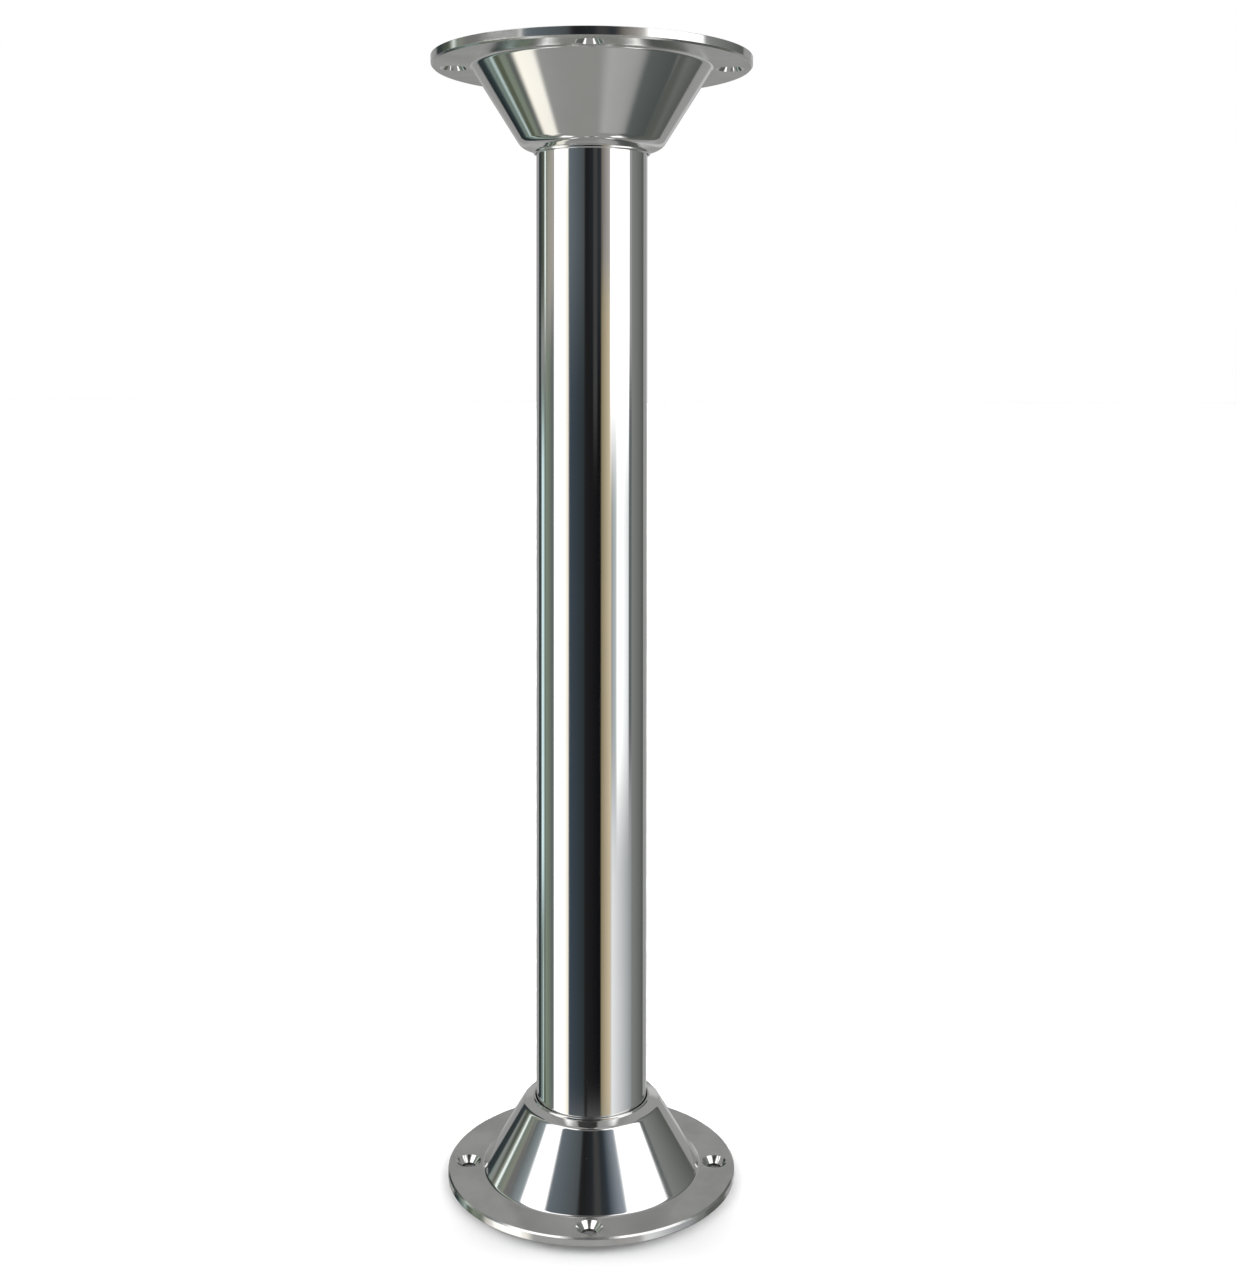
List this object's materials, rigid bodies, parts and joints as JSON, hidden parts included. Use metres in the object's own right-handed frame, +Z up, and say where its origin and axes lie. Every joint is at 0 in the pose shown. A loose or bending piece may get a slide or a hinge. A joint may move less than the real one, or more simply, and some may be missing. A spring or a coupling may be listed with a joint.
{
  "type": "pedestal table leg",
  "caption": "Round tapered metal post plugged into two conical flanged sockets, one for the floor and one for a table top; it turns in them and lifts out.",
  "frame": {"origin": "centre of the base flange's lower face, on the post's axis, where the leg stands on the floor", "axes": "+Z up along the post's axis; +X and +Y through the flange's screw holes"},
  "size_m": [0.188, 0.188, 0.7],
  "materials": {
    "socket_steel": "polished stainless casting, fine satin bloom on the flange faces",
    "post_steel": "mirror polished stainless tube with a fine lengthwise grain",
    "bush_plastic": "natural acetal, as moulded",
    "washer_plastic": "black nylon, turned",
    "ring_steel": "phosphated spring steel",
    "seal_rubber": "matt nitrile rubber",
    "plug_metal": "turned aluminium",
    "screw_steel": "plain stainless"
  },
  "bodies": {
    "base": {"base_socket": "socket_steel", "base_bush": "bush_plastic", "base_retaining_ring": "ring_steel", "base_o_ring": "seal_rubber"},
    "lower_bearing": {"base_thrust_washer": "washer_plastic"},
    "post": {"post_tube": "post_steel", "lower_end_plug": "plug_metal", "lower_plug_screws": "screw_steel", "upper_end_plug": "plug_metal", "upper_plug_screws": "screw_steel"},
    "upper_bearing": {"top_thrust_washer": "washer_plastic"},
    "top": {"top_socket": "socket_steel", "top_bush": "bush_plastic", "top_retaining_ring": "ring_steel", "top_o_ring": "seal_rubber"}
  },
  "joints": [
    {"name": "post_turn", "type": "hinge", "parent": "base", "child": "lower_bearing", "pos_m": [0, 0, 0.0095], "axis": [0, 0, 1], "continuous": true},
    {"name": "post_lift", "type": "slide", "parent": "lower_bearing", "child": "post", "axis": [0, 0, 1], "range_m": [0, 0.06]},
    {"name": "table_turn", "type": "hinge", "parent": "post", "child": "upper_bearing", "pos_m": [0, 0, 0.6885], "axis": [0, 0, 1], "continuous": true},
    {"name": "table_lift", "type": "slide", "parent": "upper_bearing", "child": "top", "axis": [0, 0, 1], "range_m": [0, 0.06]}
  ]
}
